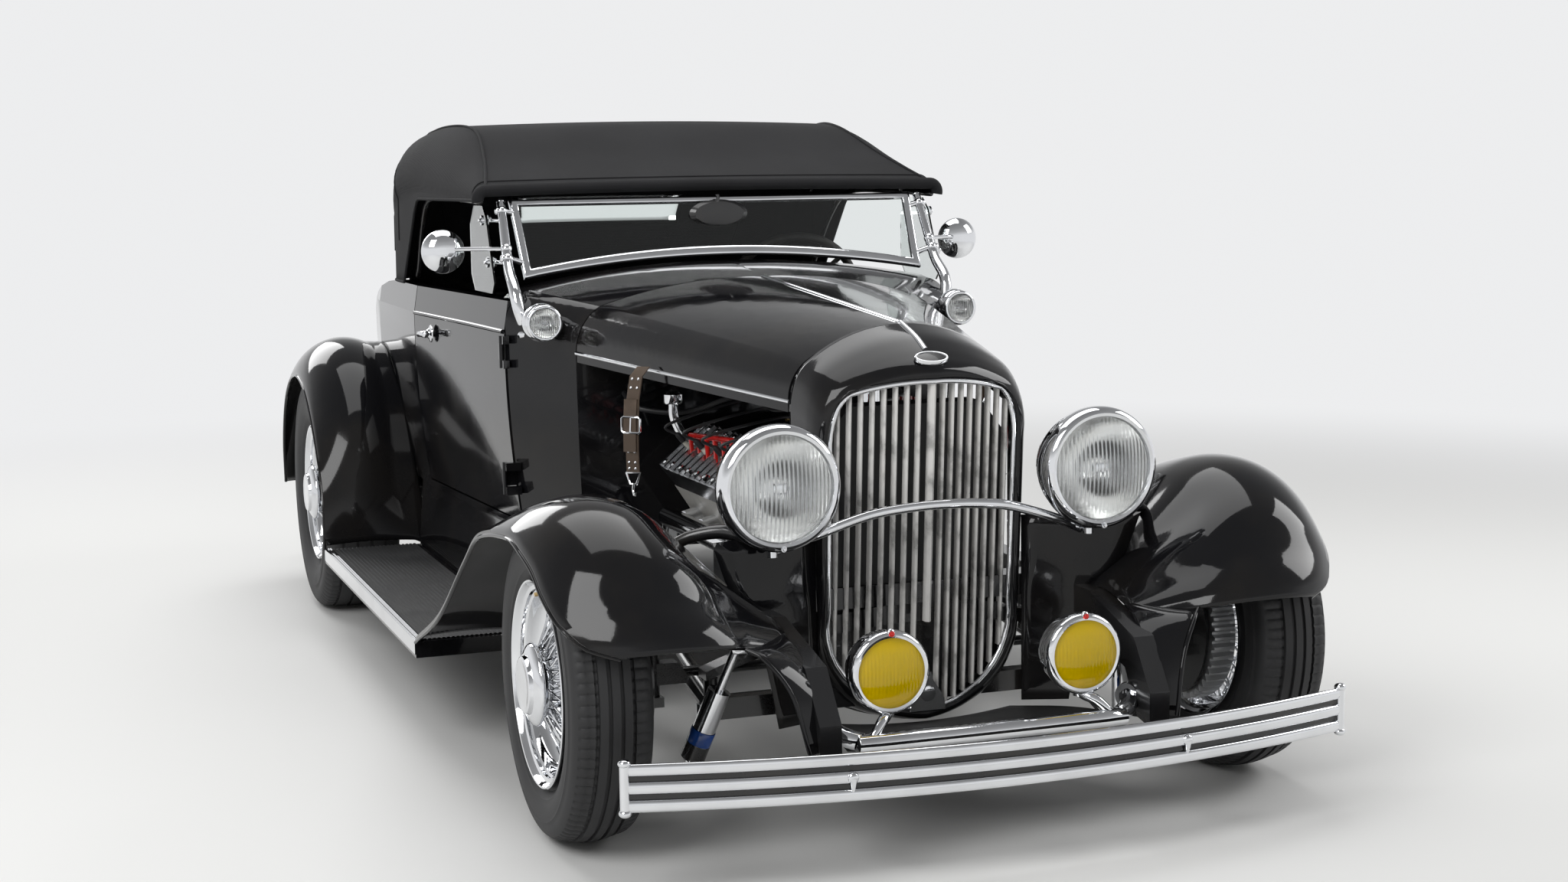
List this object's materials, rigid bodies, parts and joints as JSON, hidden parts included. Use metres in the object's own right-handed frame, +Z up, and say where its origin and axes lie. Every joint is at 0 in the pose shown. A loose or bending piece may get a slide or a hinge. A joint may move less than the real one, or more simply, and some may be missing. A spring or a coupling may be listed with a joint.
{
  "type": "hot rod",
  "caption": "Black hot rod with fabric soft top, swept fenders, running boards, upright grille, chrome lamps, wire wheels, steered front wheels, opening doors, hood and deck lid.",
  "frame": {"origin": "centre of the bounding box's bottom face, on the ground", "axes": "+Z up, -Y towards the car's front, +X towards the car's left side"},
  "size_m": [1.81, 4.204, 1.466],
  "materials": {
    "body_paint": "gloss",
    "chassis_paint": "satin",
    "chrome": "polished",
    "stainless": "brushed",
    "polished_aluminium": "polished",
    "engine_iron": "satin",
    "tyre_rubber": "matt",
    "mat_rubber": "matt",
    "canvas": "woven",
    "seat_leather": "soft",
    "clear_glass": "polished",
    "amber_glass": "polished",
    "red_glass": "polished",
    "radiator_black": "matt"
  },
  "bodies": {
    "chassis": {"bumper_irons": "chassis_paint", "cowl": "body_paint", "cowl_lights": "chrome", "cylinder_heads": "polished_aluminium", "dashboard": "body_paint", "engine_block": "engine_iron", "exhausts": "stainless", "floor": "chassis_paint", "fog_lenses": "amber_glass", "fog_lights": "chrome", "frame": "chassis_paint", "front_axle": "chassis_paint", "front_bumper": "chrome", "front_fenders": "body_paint", "front_shocks": "chrome", "fuel_tank": "chassis_paint", "gearbox": "engine_iron", "grille": "stainless", "headlight_lenses": "clear_glass", "headlights": "chrome", "hood_hinge": "chrome", "intake": "polished_aluminium", "leaf_springs": "chassis_paint", "radiator": "radiator_black", "radiator_shell": "body_paint", "radius_rods": "chassis_paint", "rear_axle": "chassis_paint", "rear_body": "body_paint", "rear_bumper": "chrome", "rear_fenders": "body_paint", "running_boards": "mat_rubber", "seat_back": "seat_leather", "seat_cushion": "seat_leather", "soft_top": "canvas", "splash_aprons": "body_paint", "spreader_bar": "chrome", "steering_column": "chrome", "tail_lights": "red_glass", "wind_wings": "clear_glass", "windshield_frame": "chrome", "windshield_glass": "clear_glass", "windshield_posts": "chrome"},
    "left_knuckle": {"left_knuckle": "chassis_paint"},
    "right_knuckle": {"right_knuckle": "chassis_paint"},
    "tie_rod": {"tie_rod": "chassis_paint"},
    "steering_wheel": {"steering_wheel": "seat_leather"},
    "left_door": {"left_door": "body_paint"},
    "right_door": {"right_door": "body_paint"},
    "deck_lid": {"deck_lid": "body_paint"},
    "left_hood": {"left_hood": "body_paint"},
    "right_hood": {"right_hood": "body_paint"},
    "front_left_wheel": {"front_left_wheel": "chrome", "front_left_tyre": "tyre_rubber"},
    "front_right_wheel": {"front_right_wheel": "chrome", "front_right_tyre": "tyre_rubber"},
    "rear_left_wheel": {"rear_left_wheel": "chrome", "rear_left_tyre": "tyre_rubber"},
    "rear_right_wheel": {"rear_right_wheel": "chrome", "rear_right_tyre": "tyre_rubber"}
  },
  "joints": [
    {"name": "left_steer", "type": "hinge", "parent": "chassis", "child": "left_knuckle", "pos_m": [0.588, -1.546, 0.321], "axis": [0, 0, 1], "range_deg": [-25, 25]},
    {"name": "right_steer", "type": "hinge", "parent": "chassis", "child": "right_knuckle", "pos_m": [-0.588, -1.546, 0.321], "axis": [0, 0, 1], "range_deg": [-25, 25]},
    {"name": "tie_rod_pivot", "type": "hinge", "parent": "left_knuckle", "child": "tie_rod", "pos_m": [0.588, -1.396, 0.26], "axis": [0, 0, 1], "range_deg": [-25, 25]},
    {"name": "steering_wheel_turn", "type": "hinge", "parent": "chassis", "child": "steering_wheel", "pos_m": [0.33, 0.094, 0.96], "axis": [0, 0.9275, 0.3739], "range_deg": [-450, 450]},
    {"name": "front_left_spin", "type": "hinge", "parent": "left_knuckle", "child": "front_left_wheel", "pos_m": [0.742, -1.546, 0.321], "axis": [1, 0, 0], "continuous": true},
    {"name": "front_right_spin", "type": "hinge", "parent": "right_knuckle", "child": "front_right_wheel", "pos_m": [-0.742, -1.546, 0.321], "axis": [1, 0, 0], "continuous": true},
    {"name": "rear_left_spin", "type": "hinge", "parent": "chassis", "child": "rear_left_wheel", "pos_m": [0.768, 1.146, 0.359], "axis": [1, 0, 0], "continuous": true},
    {"name": "rear_right_spin", "type": "hinge", "parent": "chassis", "child": "rear_right_wheel", "pos_m": [-0.768, 1.146, 0.359], "axis": [1, 0, 0], "continuous": true},
    {"name": "left_door_hinge", "type": "hinge", "parent": "chassis", "child": "left_door", "pos_m": [0.611, -0.4035, 0.745], "axis": [0, 0, -1], "range_deg": [0, 65]},
    {"name": "right_door_hinge", "type": "hinge", "parent": "chassis", "child": "right_door", "pos_m": [-0.611, -0.4035, 0.745], "axis": [0, 0, 1], "range_deg": [0, 65]},
    {"name": "left_hood_hinge", "type": "hinge", "parent": "chassis", "child": "left_hood", "pos_m": [0, -1.484, 1.01], "axis": [0, -0.9974, -0.0726], "range_deg": [0, 80]},
    {"name": "right_hood_hinge", "type": "hinge", "parent": "chassis", "child": "right_hood", "pos_m": [0, -1.484, 1.01], "axis": [0, 0.9974, 0.0726], "range_deg": [0, 80]},
    {"name": "deck_lid_hinge", "type": "hinge", "parent": "chassis", "child": "deck_lid", "pos_m": [0, 1.1565, 0.9958], "axis": [1, 0, 0], "range_deg": [0, 55]}
  ],
  "couplings": [
    {"joint": "right_steer", "follows": "left_steer", "ratio": 1},
    {"joint": "tie_rod_pivot", "follows": "left_steer", "ratio": -1},
    {"joint": "steering_wheel_turn", "follows": "left_steer", "ratio": 18}
  ]
}
